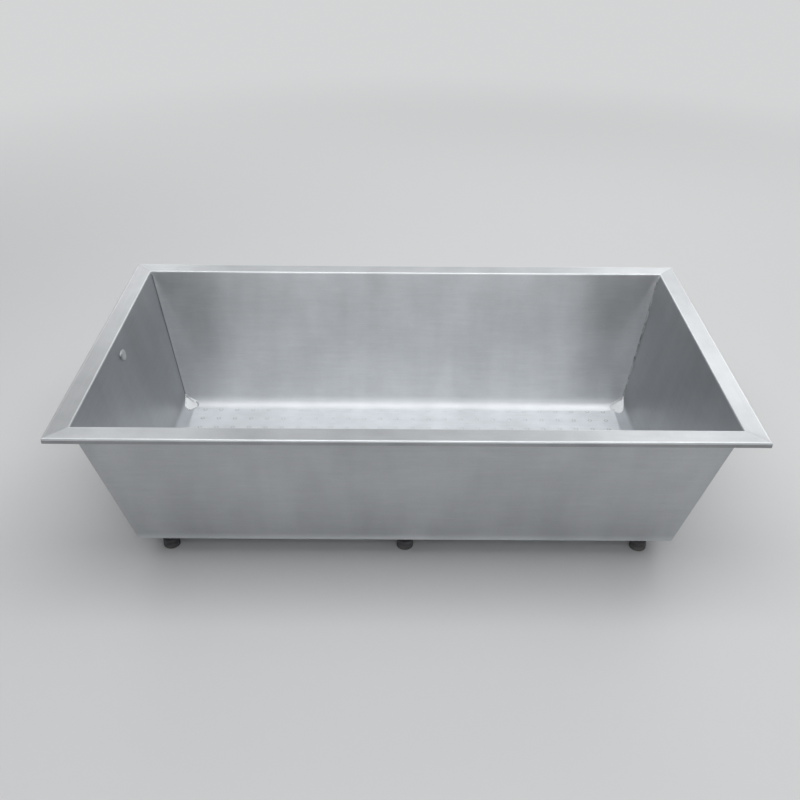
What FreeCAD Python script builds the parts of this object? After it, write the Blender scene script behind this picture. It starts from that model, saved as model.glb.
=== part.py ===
import FreeCAD
import Part

import math
import os

from FreeCAD import Placement, Rotation, Vector

# Stainless steel bathtub with a flat folded rim, four sloping walls and an embossed floor.
# Millimetres, +Z up, X along the tub, Y across it, with its front at -Y.
# The origin is on the ground under the middle of the tub.

# Shell: rim, walls and floor
rim_length = 1500.0
rim_width = 850.0
rim_flange = 45.0
lip_height = 12.0
sheet = 1.5
bath_depth = 385.0
floor_length = 1260.0
floor_width = 590.0
lip_bend_inside = 1.0
rim_bend_inside = 1.5
cove_radius = 20.0
seam_margin = 6.0

# Embossed floor pattern
dimple_pitch_x = 46.0
dimple_pitch_y = 45.0
dimple_radius = 5.0
dimple_rise = 1.2
dimple_border = 30.0
dimple_drain_margin = 8.0

# Welds: a bead down each inside corner, ground to a facet at its foot, and the floor seam
bead_leg = 3.5
bead_top_gap = 8.0
facet_height = 34.0
facet_leg = 44.0
seam_bead_width = 5.0
seam_bead_height = 1.0

# Levelling foot: rubber sole, plastic cup, steel stud with a wrench collar
sole_radius = 20.0
sole_height = 12.0
sole_round = 3.0
peg_radius = 8.0
peg_height = 4.0
cup_radius = 19.2
cup_height = 13.0
cup_floor = 2.0
cup_round = 2.5
stud_radius = 6.0
stud_tip_chamfer = 1.0
stud_tip_gap = 1.5
stud_head_radius = 10.0
stud_head_height = 4.0
collar_flats = 19.0
collar_height = 4.4
lock_nut_height = 5.0
weld_nut_height = 10.0
nut_flats = 19.0

# Rails of hat section under the floor, one pair of feet on each line of rails
rail_depth = 13.0
rail_width = 38.0
rail_sheet = 1.5
rail_flange = 15.0
rail_bend_inside = 1.0
rail_overhang = 16.0
rail_side_gap = 1.0
rail_end_gap = 2.4
rail_gap = 180.0
stud_hole_clearance = 0.4

# Waste in the floor
waste_inset = 200.0
waste_axis_height = 25.2
waste_flange_radius = 35.0
waste_flange_height = 2.5
waste_flange_round = 1.0
seat_radius = 27.0
seat_depth = 2.0
throat_radius = 24.0
throat_wall = 4.0
throat_length = 14.0
throat_hole_clearance = 0.5
spider_height = 5.0
spider_arm_width = 4.0
spider_boss_radius = 11.0
cartridge_radius = 8.0
cartridge_length = 17.0
cartridge_floor = 3.0
waste_gasket_thickness = 1.5
waste_gasket_radius = 36.0
body_collar_radius = 38.0
body_collar_height = 3.5
neck_height = 8.0
bowl_radius = 34.0
bowl_wall = 3.0
bowl_bottom_gap = 4.0
spigot_radius = 20.0
spigot_wall = 2.5
spigot_reach = 110.0
spigot_shoulder_radius = 21.0
spigot_shoulder_reach = 40.0

# Press-open plug
plug_radius = 31.0
plug_edge = 2.0
plug_dome = 2.5
plug_boss_radius = 22.0
plug_stem_radius = 5.0
plug_stem_bottom_gap = 3.0
seal_radius = 26.0
seal_round = 0.8

# Overflow in the left end wall and its pipe to the waste
overflow_drop = 48.0
overflow_cover_radius = 13.5
overflow_cover_edge = 1.2
overflow_cover_dome = 1.0
overflow_cover_gap = 2.0
overflow_sleeve_radius = 9.5
overflow_sleeve_wall = 1.5
overflow_sleeve_flange_radius = 12.0
overflow_sleeve_flange_height = 1.2
overflow_sleeve_length = 16.0
bridge_width = 8.0
bridge_height = 4.0
cover_screw_radius = 2.5
cover_screw_head_radius = 4.2
cover_screw_head_height = 1.4
cover_screw_slot_width = 1.2
cover_screw_slot_depth = 0.7
cover_screw_length = 7.0
overflow_gasket_thickness = 2.0
overflow_flange_radius = 24.0
overflow_flange_height = 3.0
barrel_radius = 14.5
pipe_offset = 32.0
elbow_cap_length = 17.0
elbow_cap_wall = 3.0
elbow_leg_length = 34.0
pipe_radius = 12.5
pipe_wall = 1.8
socket_radius = 15.5
socket_depth = 18.0
pipe_bend_radius = 24.0
pipe_nut_flats = 36.0
pipe_nut_length = 14.0
pipe_nut_grip = 6.0

# Clearances: between parts that move past each other, in a turning fit, and past a cut
running_gap = 0.3
fit_clearance = 0.05
overrun = 5.0

# Heights of the stack from the ground up, and places that follow from the sizes above
foot_top = sole_height + cup_height
collar_bottom = foot_top + running_gap
lock_nut_bottom = collar_bottom + collar_height + running_gap
rail_bottom = lock_nut_bottom + lock_nut_height
floor_underside = rail_bottom + rail_depth
floor_top = floor_underside + sheet
rim_top = floor_top + bath_depth


def wall_places(rim_size, floor_size):
    """Half sizes of the shell across one pair of walls at the rim, opening, floor corner and plate seam."""
    opening = rim_size / 2 - rim_flange
    lean = math.atan((opening - floor_size / 2) / bath_depth)
    cove_reach = cove_radius * math.tan((math.pi / 2 - lean) / 2)
    plate = floor_size / 2 - cove_reach - seam_margin
    return {"rim": rim_size / 2, "opening": opening, "floor": floor_size / 2, "plate": plate, "lean": lean}


ends = wall_places(rim_length, floor_length)
sides = wall_places(rim_width, floor_width)
end_lean = ends["lean"]
plate_half_x = ends["plate"]
plate_half_y = sides["plate"]

rail_half_width = rail_width / 2 + rail_flange
rail_end = plate_half_y - seam_bead_width / 2 - rail_end_gap
foot_x = plate_half_x - seam_bead_width / 2 - rail_side_gap - rail_half_width
foot_y = rail_end - rail_overhang
foot_places = {
    "front_left": Vector(-foot_x, -foot_y, 0),
    "front_middle": Vector(0, -foot_y, 0),
    "front_right": Vector(foot_x, -foot_y, 0),
    "back_left": Vector(-foot_x, foot_y, 0),
    "back_middle": Vector(0, foot_y, 0),
    "back_right": Vector(foot_x, foot_y, 0),
}

waste_centre = Vector(-floor_length / 2 + waste_inset, 0, 0)
overflow_down = Vector(math.sin(end_lean), 0, -math.cos(end_lean))
overflow_out = Vector(-math.cos(end_lean), 0, -math.sin(end_lean))
overflow_centre = Vector(-ends["opening"] + overflow_drop * math.tan(end_lean), 0, rim_top - overflow_drop)
elbow_centre = overflow_centre + overflow_out * pipe_offset

x_axis = Vector(1, 0, 0)
y_axis = Vector(0, 1, 0)
z_axis = Vector(0, 0, 1)
origin = Vector(0, 0, 0)


def corner_arc(before, corner, after, radius):
    """Start, middle and end of the arc that rounds a corner."""
    back = (before - corner).normalize()
    ahead = (after - corner).normalize()
    half_angle = back.getAngle(ahead) / 2
    reach = radius / math.tan(half_angle)
    inward = (back + ahead).normalize()
    middle = corner + inward * (radius / math.sin(half_angle) - radius)
    return corner + back * reach, middle, corner + ahead * reach


def rounded_edges(points, radii):
    """Edges of an open line through the points; radii holds one radius for each inner point."""
    edges = []
    start = points[0]
    for before, corner, after, radius in zip(points, points[1:], points[2:], radii):
        arc_start, arc_middle, arc_end = corner_arc(before, corner, after, radius)
        edges.append(Part.LineSegment(start, arc_start).toShape())
        edges.append(Part.Arc(arc_start, arc_middle, arc_end).toShape())
        start = arc_end
    edges.append(Part.LineSegment(start, points[-1]).toShape())
    return edges


def offset_line(points, distance):
    """The same line in the XZ plane, moved to its left by the distance."""
    directions = [(b - a).normalize() for a, b in zip(points, points[1:])]
    normals = [Vector(-d.z, 0, d.x) for d in directions]
    moved = [points[0] + normals[0] * distance]
    for corner, before, after in zip(points[1:], normals, normals[1:]):
        bisector = (before + after).normalize()
        moved.append(corner + bisector * (distance / bisector.dot(after)))
    moved.append(points[-1] + normals[-1] * distance)
    return moved


def sheet_section(points, inside_radii, thickness):
    """Face in the XZ plane of a bent sheet: one surface follows the points, the metal lies on its left."""
    near_radii = []
    far_radii = []
    for before, corner, after, inside in zip(points, points[1:], points[2:], inside_radii):
        turns_left = (corner - before).cross(after - corner).y < 0
        near_radii.append(inside + thickness if turns_left else inside)
        far_radii.append(inside if turns_left else inside + thickness)
    far_points = offset_line(points, thickness)
    near_edges = rounded_edges(points, near_radii)
    far_edges = rounded_edges(far_points[::-1], far_radii[::-1])
    ends = [
        Part.LineSegment(points[-1], far_points[-1]).toShape(),
        Part.LineSegment(far_points[0], points[0]).toShape(),
    ]
    return Part.Face(Part.Wire(near_edges + ends[:1] + far_edges + ends[1:]))


def turned(points, rounding=None):
    """Solid turned about Z from (radius, height) pairs; rounding maps a corner's index to its radius."""
    corners = [Vector(radius, 0, height) for radius, height in points]
    count = len(corners)
    arcs = {}
    for index, radius in (rounding or {}).items():
        arcs[index] = corner_arc(corners[index - 1], corners[index], corners[(index + 1) % count], radius)
    edges = []
    for index, corner in enumerate(corners):
        following = (index + 1) % count
        if index in arcs:
            edges.append(Part.Arc(*arcs[index]).toShape())
        line_start = arcs[index][2] if index in arcs else corner
        line_end = arcs[following][0] if following in arcs else corners[following]
        edges.append(Part.LineSegment(line_start, line_end).toShape())
    return Part.Face(Part.Wire(edges)).revolve(origin, z_axis, 360)


def placed(shape, place, direction=z_axis):
    """The shape with its own Z axis laid along the direction and its origin at the place."""
    moved = shape.copy()
    moved.Placement = Placement(place, Rotation(z_axis, direction)).multiply(shape.Placement)
    return moved


def rod(place, direction, length, radius):
    """Plain cylinder."""
    return Part.makeCylinder(radius, length, place, direction)


def hex_nut(flats, height, bore_radius):
    """Hexagon nut on the Z axis with its corners chamfered at both ends; no bore where bore_radius is 0."""
    corner_radius = flats / math.sqrt(3)
    corners = []
    for step in range(7):
        angle = math.radians(60 * step)
        corners.append(Vector(corner_radius * math.cos(angle), corner_radius * math.sin(angle), 0))
    prism = Part.Face(Part.makePolygon(corners)).extrude(z_axis * height)
    chamfer = corner_radius - flats / 2
    barrel = turned([
        (0, 0),
        (flats / 2, 0),
        (corner_radius, chamfer),
        (corner_radius, height - chamfer),
        (flats / 2, height),
        (0, height),
    ])
    nut = prism.common(barrel)
    if bore_radius > 0:
        nut = nut.cut(rod(origin, z_axis, height, bore_radius))
    return nut


# Shell

def wall_section(own):
    """Bent sheet of one wall: lip, rim flange, slope, cove and the flat strip up to the plate's seam."""
    points = [
        Vector(own["rim"], 0, rim_top - lip_height),
        Vector(own["rim"], 0, rim_top),
        Vector(own["opening"], 0, rim_top),
        Vector(own["floor"], 0, floor_top),
        Vector(own["plate"], 0, floor_top),
    ]
    return sheet_section(points, [lip_bend_inside, rim_bend_inside, cove_radius], sheet)


def mitre_block(own, other):
    """Block past the plane that halves the corner between a wall facing +X and its neighbour at +Y."""
    opening_corner = Vector(own["opening"], other["opening"], rim_top)
    floor_corner = Vector(own["floor"], other["floor"], floor_top)
    own_out = Vector(math.cos(own["lean"]), 0, -math.sin(own["lean"]))
    other_out = Vector(0, math.cos(other["lean"]), -math.sin(other["lean"]))
    edge = (opening_corner - floor_corner).normalize()
    normal = edge.cross(own_out + other_out).normalize()
    across = normal.cross(edge)
    corners = [
        opening_corner + edge * (rim_length * up) + across * (rim_length * side)
        for up, side in ((-1, -1), (1, -1), (1, 1), (-1, 1), (-1, -1))
    ]
    return Part.Face(Part.makePolygon(corners)).extrude(normal * rim_length)


def wall(own, other, turn):
    """One wall facing +X with mitred ends towards its neighbours, then turned about Z to its side."""
    section = wall_section(own)
    section.translate(y_axis * -(other["rim"] + overrun))
    panel = section.extrude(y_axis * (2 * (other["rim"] + overrun)))
    block = mitre_block(own, other)
    panel = panel.cut(block)
    panel = panel.cut(block.mirror(origin, y_axis))
    panel.rotate(origin, z_axis, turn)
    rim_outline = Part.makeBox(rim_length, rim_width, rim_top, Vector(-rim_length / 2, -rim_width / 2, 0))
    return panel.common(rim_outline).Solids[0]


def left_end_wall():
    """End wall with the round hole for the overflow."""
    hole_start = overflow_centre - overflow_out * overrun
    hole = rod(hole_start, overflow_out, sheet + 2 * overrun, overflow_sleeve_radius + running_gap)
    return wall(ends, sides, 180).cut(hole)


def pattern_places(half_length, pitch):
    """Evenly spaced places about zero that fit between the borders."""
    count = int((2 * half_length - 2 * dimple_border) / pitch) + 1
    first = -(count - 1) / 2 * pitch
    return [first + step * pitch for step in range(count)]


def dimple_places():
    """Centres of the embossed dimples, left out round the waste."""
    keep_out = waste_flange_radius + dimple_drain_margin + dimple_radius
    places = []
    for x in pattern_places(plate_half_x, dimple_pitch_x):
        for y in pattern_places(plate_half_y, dimple_pitch_y):
            place = Vector(x, y, 0)
            if place.distanceToPoint(waste_centre) > keep_out:
                places.append(place)
    return places


def waste_hole(height):
    """Outline of the hole for the waste's throat."""
    return Part.Wire(Part.makeCircle(throat_radius + throat_hole_clearance, waste_centre + z_axis * height))


def dimpled_surface(height, places, outline):
    """Faces of one side of the floor sheet: the flat with its holes, and a dome on each dimple."""
    dome_radius = (dimple_radius ** 2 + dimple_rise ** 2) / (2 * dimple_rise)
    dome_start = math.degrees(math.asin((dome_radius - dimple_rise) / dome_radius))
    dome_centre = z_axis * (height + dimple_rise - dome_radius)
    dome = Part.makeSphere(dome_radius, dome_centre, z_axis, dome_start, 90, 360).Faces[0]
    wires = [Part.makePolygon([point + z_axis * height for point in outline])]
    wires.append(waste_hole(height))
    faces = []
    for place in places:
        wires.append(Part.Wire(Part.makeCircle(dimple_radius, place + z_axis * height)))
        moved_dome = dome.copy()
        moved_dome.translate(place)
        faces.append(moved_dome)
    return [Part.makeFace(wires, "Part::FaceMakerBullseye")] + faces


def floor_plate():
    """Flat floor sheet between the coves, with embossed dimples and the waste hole."""
    outline = [
        Vector(x * plate_half_x, y * plate_half_y, 0)
        for x, y in ((-1, -1), (1, -1), (1, 1), (-1, 1), (-1, -1))
    ]
    places = dimple_places()
    faces = dimpled_surface(floor_top, places, outline)
    faces += dimpled_surface(floor_underside, places, outline)
    rim = Part.makePolygon([point + z_axis * floor_underside for point in outline])
    faces += rim.extrude(z_axis * sheet).Faces
    faces += waste_hole(floor_underside).extrude(z_axis * sheet).Faces
    shell = Part.Shell(faces)
    shell.sewShape()
    return Part.Solid(shell)


def corner_weld(x_side, y_side, walls):
    """Bead down one inside corner, with its foot ground to a facet over the meeting coves."""
    floor_corner = Vector(ends["floor"], sides["floor"], floor_top)
    corner_run = Vector(ends["opening"], sides["opening"], rim_top) - floor_corner

    def section(height):
        corner = floor_corner + corner_run * (height / bath_depth)
        along_end = corner - y_axis * bead_leg
        along_side = corner - x_axis * bead_leg
        inward = Vector(-1, -1, 0).normalize()
        crown = corner + inward * bead_leg
        arc = Part.Arc(along_end, crown, along_side).toShape()
        legs = Part.makePolygon([along_side, corner, along_end]).Edges
        return Part.Wire([arc] + legs)

    bead_bottom = facet_height - bead_leg
    bead = Part.makeLoft([section(bead_bottom), section(bath_depth - bead_top_gap)], True, True)
    top = floor_corner + corner_run * (facet_height / bath_depth)
    along_side = floor_corner - x_axis * facet_leg
    along_end = floor_corner - y_axis * facet_leg
    faces = [
        Part.Face(Part.makePolygon([a, b, c, a]))
        for a, b, c in (
            (floor_corner, along_side, along_end),
            (floor_corner, top, along_side),
            (floor_corner, along_end, top),
            (top, along_end, along_side),
        )
    ]
    facet = Part.Solid(Part.Shell(faces))
    weld = bead.fuse(facet)
    if x_side < 0:
        weld = weld.mirror(origin, x_axis)
    if y_side < 0:
        weld = weld.mirror(origin, y_axis)
    weld = weld.cut(walls)
    return max(weld.Solids, key=lambda solid: solid.Volume)


def floor_seam_weld():
    """Flat bead under the seam between the wall panels and the floor plate."""
    def block(grow):
        size_x = 2 * (plate_half_x + grow)
        size_y = 2 * (plate_half_y + grow)
        corner = Vector(-size_x / 2, -size_y / 2, floor_underside - seam_bead_height)
        return Part.makeBox(size_x, size_y, seam_bead_height, corner)

    return block(seam_bead_width / 2).cut(block(-seam_bead_width / 2))


# Rails, feet and their nuts

def rail(x, y_start, y_end, stud_places):
    """Hat section rail under the floor at one X, with a hole for each stud that it carries."""
    flange_under = floor_underside - rail_sheet
    points = [
        Vector(-rail_half_width, 0, flange_under),
        Vector(-rail_width / 2, 0, flange_under),
        Vector(-rail_width / 2, 0, rail_bottom),
        Vector(rail_width / 2, 0, rail_bottom),
        Vector(rail_width / 2, 0, flange_under),
        Vector(rail_half_width, 0, flange_under),
    ]
    section = sheet_section(points, [rail_bend_inside] * 4, rail_sheet)
    section.translate(Vector(x, y_start, 0))
    bar = section.extrude(y_axis * (y_end - y_start))
    for y in stud_places:
        hole_start = Vector(x, y, rail_bottom - overrun)
        bar = bar.cut(rod(hole_start, z_axis, rail_sheet + 2 * overrun, stud_radius + stud_hole_clearance))
    return bar


def rails():
    """The left line of rails is in two lengths, so that the overflow pipe passes between them."""
    full_length = (-rail_end, rail_end, [-foot_y, foot_y])
    return {
        "left_front_rail": rail(-foot_x, -rail_end, -rail_gap / 2, [-foot_y]),
        "left_back_rail": rail(-foot_x, rail_gap / 2, rail_end, [foot_y]),
        "middle_rail": rail(0, *full_length),
        "right_rail": rail(foot_x, *full_length),
    }


def nuts_at_feet(height, bottom):
    """Compound of one hexagon nut at each foot."""
    nut = hex_nut(nut_flats, height, stud_radius + fit_clearance)
    return Part.makeCompound([placed(nut, place + z_axis * bottom) for place in foot_places.values()])


def foot_sole():
    """Rubber sole with a rounded lower edge and a socket for the cup's peg."""
    return turned(
        [
            (0, 0),
            (sole_radius, 0),
            (sole_radius, sole_height),
            (peg_radius + fit_clearance, sole_height),
            (peg_radius + fit_clearance, sole_height - peg_height),
            (0, sole_height - peg_height),
        ],
        {1: sole_round},
    )


def foot_cup():
    """Plastic cup on the sole, closed over the stud's head so that the stud can turn in it."""
    cavity_bottom = sole_height + cup_floor
    cavity_top = cavity_bottom + stud_head_height + fit_clearance
    cavity_radius = stud_head_radius + fit_clearance
    neck_radius = stud_radius + fit_clearance
    return turned(
        [
            (0, sole_height - peg_height),
            (peg_radius, sole_height - peg_height),
            (peg_radius, sole_height),
            (cup_radius, sole_height),
            (cup_radius, foot_top),
            (neck_radius, foot_top),
            (neck_radius, cavity_top),
            (cavity_radius, cavity_top),
            (cavity_radius, cavity_bottom),
            (0, cavity_bottom),
        ],
        {4: cup_round},
    )


def foot_stud():
    """Threaded stud with a head inside the cup and a hexagon collar for the wrench."""
    head_bottom = sole_height + cup_floor
    stud_top = floor_underside - stud_tip_gap
    shank = turned([
        (0, head_bottom),
        (stud_head_radius, head_bottom),
        (stud_head_radius, head_bottom + stud_head_height),
        (stud_radius, head_bottom + stud_head_height),
        (stud_radius, stud_top - stud_tip_chamfer),
        (stud_radius - stud_tip_chamfer, stud_top),
        (0, stud_top),
    ])
    collar = placed(hex_nut(collar_flats, collar_height, 0), z_axis * collar_bottom)
    return shank.fuse(collar)


# Waste

def waste_flange():
    """Strainer flange on the floor, with its threaded throat and a spider that holds the plug's cartridge."""
    flange_top = floor_top + waste_flange_height
    seat = flange_top - seat_depth
    throat_bottom = floor_underside - throat_length
    throat_inside = throat_radius - throat_wall
    ring = turned(
        [
            (throat_inside, throat_bottom),
            (throat_radius, throat_bottom),
            (throat_radius, floor_top),
            (waste_flange_radius, floor_top),
            (waste_flange_radius, flange_top),
            (seat_radius, flange_top),
            (seat_radius, seat),
            (throat_inside, seat),
        ],
        {4: waste_flange_round},
    )
    spider_top = throat_bottom + spider_height
    boss = turned([
        (cartridge_radius + fit_clearance, throat_bottom),
        (spider_boss_radius, throat_bottom),
        (spider_boss_radius, spider_top),
        (cartridge_radius + fit_clearance, spider_top),
    ])
    arm_start = (cartridge_radius + spider_boss_radius) / 2
    arm_end = throat_radius - throat_wall / 2
    arm_corner = Vector(arm_start, -spider_arm_width / 2, throat_bottom)
    arm = Part.makeBox(arm_end - arm_start, spider_arm_width, spider_top - throat_bottom, arm_corner)
    arms = []
    for turn in (0, 120, 240):
        turned_arm = arm.copy()
        turned_arm.rotate(origin, z_axis, turn)
        arms.append(turned_arm)
    return placed(ring.multiFuse([boss] + arms), waste_centre)


def waste_gasket():
    """Rubber ring between the floor and the waste body."""
    inside = throat_radius + throat_hole_clearance
    ring = turned([
        (inside, floor_underside - waste_gasket_thickness),
        (waste_gasket_radius, floor_underside - waste_gasket_thickness),
        (waste_gasket_radius, floor_underside),
        (inside, floor_underside),
    ])
    return placed(ring, waste_centre)


def waste_body():
    """Shallow bowl under the floor with an outlet to the back and a socket for the overflow pipe."""
    body_top = floor_underside - waste_gasket_thickness
    neck_bottom = body_top - neck_height
    inside_bottom = bowl_bottom_gap + bowl_wall
    inside_radius = bowl_radius - bowl_wall
    bowl = turned([
        (0, bowl_bottom_gap),
        (bowl_radius, bowl_bottom_gap),
        (bowl_radius, body_top - body_collar_height),
        (body_collar_radius, body_top - body_collar_height),
        (body_collar_radius, body_top),
        (0, body_top),
    ])
    hollow = turned([
        (0, inside_bottom),
        (inside_radius, inside_bottom),
        (inside_radius, neck_bottom),
        (throat_radius + fit_clearance, neck_bottom),
        (throat_radius + fit_clearance, body_top + overrun),
        (0, body_top + overrun),
    ])
    axis_point = z_axis * waste_axis_height
    spigot = rod(axis_point, y_axis, spigot_reach, spigot_radius)
    shoulder = rod(axis_point, y_axis, spigot_shoulder_reach, spigot_shoulder_radius)
    spigot_bore = rod(
        axis_point + y_axis * inside_radius,
        y_axis,
        spigot_reach - inside_radius + overrun,
        spigot_radius - spigot_wall,
    )
    socket = rod(axis_point, -x_axis, waste_socket_reach, socket_radius)
    pipe_way = rod(axis_point, -x_axis, waste_socket_reach, pipe_radius - pipe_wall)
    pipe_seat = rod(
        axis_point - x_axis * (waste_socket_reach - socket_depth),
        -x_axis,
        socket_depth + overrun,
        pipe_radius + fit_clearance,
    )
    body = bowl.multiFuse([spigot, shoulder, socket]).cut([hollow, spigot_bore, pipe_way, pipe_seat])
    return placed(body, waste_centre)


def plug_cartridge():
    """Guide of the press-open plug, screwed into the spider's boss."""
    bottom = floor_underside - throat_length
    top = bottom + cartridge_length
    inside = plug_stem_radius + fit_clearance
    guide = turned([
        (0, bottom),
        (cartridge_radius, bottom),
        (cartridge_radius, top),
        (inside, top),
        (inside, bottom + cartridge_floor),
        (0, bottom + cartridge_floor),
    ])
    return placed(guide, waste_centre)


def plug():
    """Domed plug plate with its boss and stem, shut."""
    plate_under = floor_top + waste_flange_height + running_gap
    boss_under = floor_underside - throat_length + cartridge_length + running_gap
    stem_bottom = floor_underside - throat_length + cartridge_floor + plug_stem_bottom_gap
    body = turned(
        [
            (0, stem_bottom),
            (plug_stem_radius, stem_bottom),
            (plug_stem_radius, boss_under),
            (plug_boss_radius - seal_round, boss_under),
            (plug_boss_radius - seal_round, plate_under),
            (plug_radius, plate_under),
            (plug_radius, plate_under + plug_edge),
            (0, plate_under + plug_edge + plug_dome),
        ],
        {6: plug_edge / 2},
    )
    return placed(body, waste_centre)


def plug_seal():
    """Rubber ring under the plug plate that rests on the flange's seat."""
    seat = floor_top + waste_flange_height - seat_depth
    plate_under = floor_top + waste_flange_height + running_gap
    ring = turned(
        [
            (plug_boss_radius, seat),
            (seal_radius, seat),
            (seal_radius, plate_under),
            (plug_boss_radius, plate_under),
        ],
        {1: seal_round},
    )
    return placed(ring, waste_centre)


# Overflow

def overflow_sleeve():
    """Threaded sleeve through the wall hole, with a bridge that takes the cover's screw."""
    inside = overflow_sleeve_radius - overflow_sleeve_wall
    bottom = -overflow_sleeve_flange_height
    ring = turned([
        (inside, bottom),
        (overflow_sleeve_flange_radius, bottom),
        (overflow_sleeve_flange_radius, 0),
        (overflow_sleeve_radius, 0),
        (overflow_sleeve_radius, overflow_sleeve_length),
        (inside, overflow_sleeve_length),
    ])
    half_span = inside + overflow_sleeve_wall / 2
    bridge_corner = Vector(-bridge_width / 2, -half_span, 0)
    bridge = Part.makeBox(bridge_width, 2 * half_span, bridge_height, bridge_corner)
    hole_length = bridge_height + 2 * overrun
    screw_hole = rod(z_axis * -overrun, z_axis, hole_length, cover_screw_radius + fit_clearance)
    return placed(ring.fuse(bridge).cut(screw_hole), overflow_centre, overflow_out)


def overflow_cover():
    """Domed cover held off the wall, so that water enters all round behind its edge."""
    under = -overflow_sleeve_flange_height - overflow_cover_gap
    top = under - overflow_cover_edge - overflow_cover_dome
    screw_way = cover_screw_radius + running_gap
    head_way = cover_screw_head_radius + running_gap
    post_radius = bridge_width / 2
    body = turned(
        [
            (screw_way, 0),
            (post_radius, 0),
            (post_radius, under),
            (overflow_cover_radius, under),
            (overflow_cover_radius, under - overflow_cover_edge),
            (head_way, top),
            (head_way, top + cover_screw_head_height),
            (screw_way, top + cover_screw_head_height),
        ],
        {4: overflow_cover_edge / 2},
    )
    return placed(body, overflow_centre, overflow_out)


def overflow_screw():
    """Slotted screw through the cover into the sleeve's bridge."""
    under = -overflow_sleeve_flange_height - overflow_cover_gap
    top = under - overflow_cover_edge - overflow_cover_dome
    head_under = top + cover_screw_head_height
    body = turned([
        (0, top),
        (cover_screw_head_radius, top),
        (cover_screw_head_radius, head_under),
        (cover_screw_radius, head_under),
        (cover_screw_radius, head_under + cover_screw_length),
        (0, head_under + cover_screw_length),
    ])
    slot = Part.makeBox(
        cover_screw_slot_width,
        2 * cover_screw_head_radius,
        cover_screw_slot_depth + overrun,
        Vector(-cover_screw_slot_width / 2, -cover_screw_head_radius, top - overrun),
    )
    return placed(body.cut(slot), overflow_centre, overflow_out)


def overflow_gasket():
    """Rubber ring between the wall and the elbow's flange."""
    ring = turned([
        (overflow_sleeve_radius + running_gap, sheet),
        (overflow_flange_radius, sheet),
        (overflow_flange_radius, sheet + overflow_gasket_thickness),
        (overflow_sleeve_radius + running_gap, sheet + overflow_gasket_thickness),
    ])
    return placed(ring, overflow_centre, overflow_out)


def overflow_elbow():
    """Elbow outside the end wall that takes the sleeve's thread and turns down along the wall."""
    flange_start = overflow_centre + overflow_out * (sheet + overflow_gasket_thickness)
    barrel_length = pipe_offset - sheet - overflow_gasket_thickness
    flange = rod(flange_start, overflow_out, overflow_flange_height, overflow_flange_radius)
    barrel = rod(flange_start, overflow_out, barrel_length, barrel_radius)
    leg_top = elbow_centre - overflow_down * elbow_cap_length
    leg = rod(leg_top, overflow_down, elbow_cap_length + elbow_leg_length, socket_radius)
    thread = rod(
        flange_start - overflow_out * overrun,
        overflow_out,
        barrel_length + overrun,
        overflow_sleeve_radius + fit_clearance,
    )
    water_way = rod(
        leg_top + overflow_down * elbow_cap_wall,
        overflow_down,
        elbow_cap_length + elbow_leg_length,
        pipe_radius - pipe_wall,
    )
    pipe_seat = rod(
        elbow_centre + overflow_down * (elbow_leg_length - socket_depth),
        overflow_down,
        socket_depth + overrun,
        pipe_radius + fit_clearance,
    )
    return flange.multiFuse([barrel, leg]).cut([thread, water_way, pipe_seat])


# Pipe run: down along the end wall, round the lower elbow and along under the floor to the waste
pipe_run_down = (elbow_centre.z - waste_axis_height) / math.cos(end_lean)
pipe_corner = elbow_centre + overflow_down * pipe_run_down
pipe_turn = math.pi / 2 - end_lean
bend_reach = pipe_bend_radius * math.tan(pipe_turn / 2)
bend_start = pipe_corner - overflow_down * bend_reach
bend_end = pipe_corner + x_axis * bend_reach
upper_socket_end = elbow_centre + overflow_down * elbow_leg_length
waste_socket_reach = bowl_radius + bowl_wall + socket_depth
waste_socket_end = waste_centre + z_axis * waste_axis_height - x_axis * waste_socket_reach


def overflow_lower_elbow():
    """Bend below the end wall with a socket at each end."""
    outer = Part.Wire(Part.makeCircle(socket_radius, bend_start, overflow_down))
    inner = Part.Wire(Part.makeCircle(pipe_radius - pipe_wall, bend_start, overflow_down))
    toward_centre = (x_axis - overflow_down * x_axis.dot(overflow_down)).normalize()
    bend_axis = overflow_down.cross(x_axis)
    centre = bend_start + toward_centre * pipe_bend_radius
    ring = Part.makeFace([outer, inner], "Part::FaceMakerBullseye")
    bend = ring.revolve(centre, bend_axis, math.degrees(pipe_turn))
    sockets = []
    for mouth, direction in ((bend_start, -overflow_down), (bend_end, x_axis)):
        socket = rod(mouth, direction, socket_depth, socket_radius)
        sockets.append(socket.cut(rod(mouth, direction, socket_depth, pipe_radius + fit_clearance)))
    return bend.multiFuse(sockets)


def pipe_between(start, end):
    """Straight pipe from one socket's shoulder to the other's."""
    run = end - start
    direction = Vector(run).normalize()
    outside = rod(start, direction, run.Length, pipe_radius)
    return outside.cut(rod(start, direction, run.Length, pipe_radius - pipe_wall))


def overflow_down_pipe():
    return pipe_between(upper_socket_end - overflow_down * socket_depth, bend_start)


def overflow_floor_pipe():
    return pipe_between(bend_end, waste_socket_end + x_axis * socket_depth)


def overflow_pipe_nuts():
    """The nut at each socket's mouth that clamps the pipe."""
    nut = hex_nut(pipe_nut_flats, pipe_nut_length, pipe_radius + fit_clearance)
    nut = nut.cut(rod(origin, z_axis, pipe_nut_length - pipe_nut_grip, socket_radius + fit_clearance))
    overlap = pipe_nut_length - pipe_nut_grip
    mouths = (
        (upper_socket_end, overflow_down),
        (bend_start - overflow_down * socket_depth, -overflow_down),
        (bend_end + x_axis * socket_depth, x_axis),
        (waste_socket_end, -x_axis),
    )
    return Part.makeCompound([placed(nut, mouth - way * overlap, way) for mouth, way in mouths])


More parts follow.
